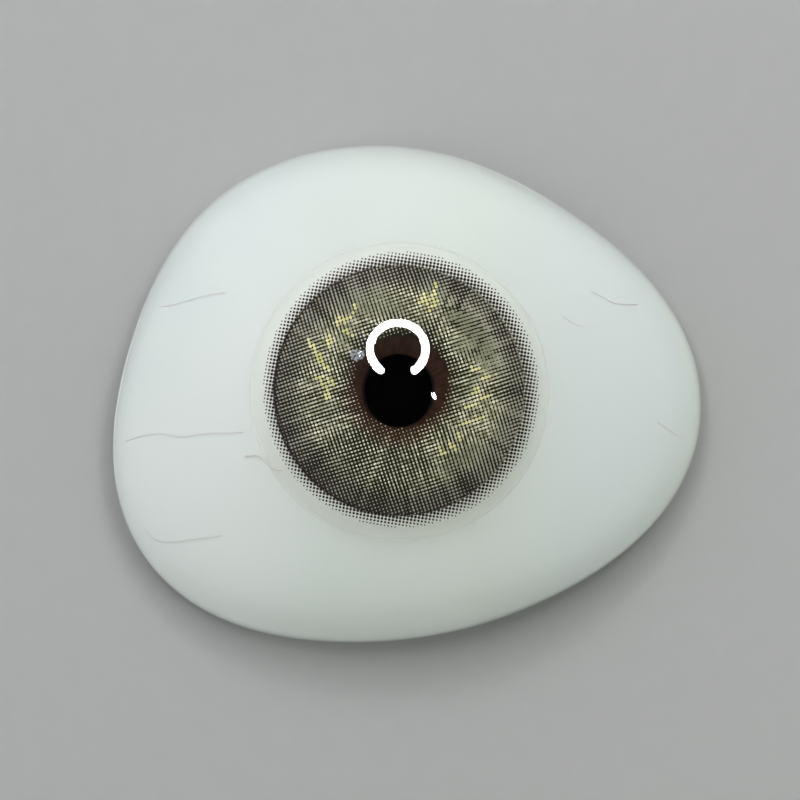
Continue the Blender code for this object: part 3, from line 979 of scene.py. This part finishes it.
# %% Strokes of the flecks
FLECKS = {
    "fleck_print_top": [
        [(1.65, 4.97), (1.55, 4.49), (1.22, 4.16)], [(1.75, 4.30), (1.36, 3.77)],
        [(1.07, 4.49), (0.93, 4.11)]],
    "fleck_print_right": [
        [(3.28, 0.99), (3.66, 1.04)], [(3.90, 0.61), (4.19, 0.66)], [(3.33, -0.16), (3.66, -0.01)],
        [(3.09, -0.88), (3.47, -0.73)], [(3.52, -1.41), (3.81, -1.31)], [(3.76, -0.40), (4.10, -0.30)]],
    "fleck_print_lower_right": [
        [(2.75, -1.98), (2.85, -2.46)], [(2.56, -2.84), (2.32, -2.56)],
        [(1.89, -2.80), (2.03, -3.13)], [(2.99, -1.65), (3.28, -1.45)]],
    "fleck_print_left": [
        [(-3.72, 0.66), (-3.29, 0.32)], [(-4.01, 0.61), (-3.77, 0.27)], [(-3.58, 0.18), (-3.48, -0.40)]],
    "fleck_print_upper_left": [
        [(-4.39, 2.29), (-4.01, 1.81), (-3.82, 1.33), (-3.67, 1.04), (-3.39, 0.99)],
        [(-3.43, 2.62), (-3.39, 2.10)]],
    "fleck_print_top_left": [
        [(-2.14, 4.01), (-2.38, 3.44), (-2.67, 3.25)], [(-2.91, 3.44), (-3.05, 3.01)],
        [(-2.76, 2.82), (-2.38, 2.62)]],
}
print("strokes:", sum(len(strokes) for strokes in FLECKS.values()))

# %% [markdown]
# The flecks use the same grid as the olive dots, so each yellow dot lies on an olive one. Only their size rule
# differs: a dot is kept where a stroke passes close by.

# %% Yellow flecks
STROKE_REACH = 0.105 * MM
YELLOW_SIZE = 0.46
YELLOW_LIFT = 0.09 * MM


def distance_to(places, start, end):
    """How far each place is from the straight line between two points."""
    start, end = np.array(start) * MM, np.array(end) * MM
    run = end - start
    share = np.clip(((places - start) @ run) / (run @ run), 0, 1)
    return np.linalg.norm(places - start - share[:, None] * run, axis=1)


def fleck_rule(strokes):
    lines = [pair for stroke in strokes for pair in zip(stroke, stroke[1:])]

    def size(rho, angle):
        places = np.stack((rho * np.cos(angle), rho * np.sin(angle)), axis=1)
        nearest = np.min([distance_to(places, start, end) for start, end in lines], axis=0)
        return np.where(nearest < STROKE_REACH, YELLOW_SIZE, 0)

    return size


flecks = []
for node, strokes in FLECKS.items():
    fleck = print_dots(node + "_dots", OLIVE_PITCH, OLIVE_TURN, fleck_rule(strokes), YELLOW_LIFT)
    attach(fleck, "root")
    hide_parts(node)
    flecks.append(fleck)

# %% [markdown]
# Ink is matt and never quite even. The dark and the yellow ink each wander between two close tones. Under a
# clear cap and a wet lens they need no shine of their own.

# %% Dark and yellow ink


def ink(name, first, second, patch):
    colour = Finish(name)
    spread = colour.step(colour.cloud(colour.place(), patch), 0.35, 0.65)
    colour.set(Base_Color=colour.blend(spread, first, second), Roughness=0.7, Specular_IOR_Level=0.1)
    return colour


ink("dark_ink", (0.014, 0.007, 0.008), (0.028, 0.014, 0.016), 900.0).put_on(dark_ring)
yellow = ink("yellow_ink", (0.62, 0.60, 0.27), (0.80, 0.77, 0.43), 1500.0)
for fleck in flecks:
    yellow.put_on(fleck)
print("ink on", 1 + len(flecks), "pieces")

# %% [markdown]
# The olive ink varies the most. From dot to dot it lies thin or thick, and thick ink is paler. The dull dots,
# which the attribute marks, are greener and darker, and towards the outer edge all of it turns grey.

# %% Olive ink
olive = Finish("olive_ink")
patches = olive.step(olive.cloud(olive.place(), 700.0), 0.35, 0.65)
dot_by_dot = olive.step(olive.cloud(olive.place(), 4200.0, 1.0), 0.3, 0.7)
thin = olive.blend(patches, (0.25, 0.243, 0.15), (0.33, 0.32, 0.19))
thick = olive.blend(patches, (0.65, 0.63, 0.51), (0.86, 0.84, 0.68))
olive_green = olive.blend(dot_by_dot, thin, thick)
dull = olive.node("ShaderNodeAttribute", {"attribute_name": "dullness"}, output=2)
olive_green = olive.blend(dull, olive_green, (0.235, 0.24, 0.168))
outer_edge = olive.step(olive.from_middle(PRINT_X, PRINT_Y)[0], 4.4 * MM, 5.4 * MM)
olive_green = olive.blend(outer_edge, olive_green, (0.34, 0.33, 0.275))
olive.set(Base_Color=olive_green, Roughness=0.7, Specular_IOR_Level=0.1)
olive.put_on(olive_ring)
print("ink on", olive_ring.name)

# %% [markdown]
# The painted iris shows through the opening of the print. Real iris paint is brushed outwards from the pupil,
# so the noise that colours it is stretched along the radius: it reads the angle and the distance, not x and y.
# The paint is almost black beside the pupil, and darkens again under the print.

# %% Iris
iris_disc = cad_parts["iris_disc"]

paint = Finish("iris_paint")
from_pupil, paint_x, paint_y = paint.from_middle(IRIS_X, IRIS_Y)
turn_x = paint_x / (from_pupil + 1e-6)
turn_y = paint_y / (from_pupil + 1e-6)
brush_path = paint.node("ShaderNodeCombineXYZ", None, {0: turn_x * 9, 1: turn_y * 9, 2: from_pupil * 900})
fibres = paint.cloud(brush_path, 1.6, 4.0)
brown = paint.blend(paint.step(fibres, 0.3, 0.7), (0.022, 0.008, 0.0035), (0.040, 0.015, 0.007))
beside_pupil = paint.step(from_pupil, 1.82 * MM, 1.66 * MM)
brown = paint.blend(beside_pupil, brown, (0.003, 0.0012, 0.0008))
under_print = paint.step(from_pupil, 2.3 * MM, 2.9 * MM)
brown = paint.blend(under_print, brown, (0.008, 0.0075, 0.0015))
paint.set(Base_Color=brown, Roughness=0.5, Specular_IOR_Level=0.1)
paint.put_on(iris_disc)
print("iris painted")

# %% [markdown]
# The pupil is a disc of black lacquer. Even black lacquer holds a few specks, which are barely less black.

# %% Pupil
pupil_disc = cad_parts["pupil_disc"]

lacquer = Finish("pupil_lacquer")
specks = lacquer.cloud(lacquer.place(), 4000.0)
black = lacquer.blend(specks, (0.0006, 0.0006, 0.0006), (0.0016, 0.0014, 0.0014))
lacquer.set(Base_Color=black, Roughness=0.5, Specular_IOR_Level=0.0)
lacquer.put_on(pupil_disc)
print("pupil lacquered")

# %% [markdown]
# The veins are threads of red silk under the clear cap. A single strand of silk is finer than the solid thread
# can be, so a copy of each is thinned all round with Shrink/Fatten, the curled one by the iris the least. Silk
# frays and fades along its length, so its colour wanders between a dull pink and almost the colour of the
# white.

# %% Vein threads
SILK_THINNER = 0.02 * MM
CURL_THINNER = 0.008 * MM

silk = Finish("vein_silk_thread")
fade = silk.step(silk.cloud(silk.place(), 1400.0), 0.35, 0.7)
faded_red = silk.blend(fade, (0.70, 0.60, 0.61), (0.75, 0.71, 0.71))
silk.set(Base_Color=faded_red, Roughness=0.8, Specular_IOR_Level=0.1)
vein_names = [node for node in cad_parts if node.startswith("vein_thread")]
for name in vein_names:
    strand = joined_copy(name, name.replace("vein_thread", "silk_strand"))
    thinner = CURL_THINNER if name.endswith("curl") else SILK_THINNER
    bpy.ops.transform.shrink_fatten(value=-thinner)
    finish_edit()
    round_shading()
    silk.put_on(strand)
    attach(strand, "root")
    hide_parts(name)
    print(strand.name, "is thinned by", round(2 * thinner / MM, 3), "mm;", triangles(strand), "triangles")
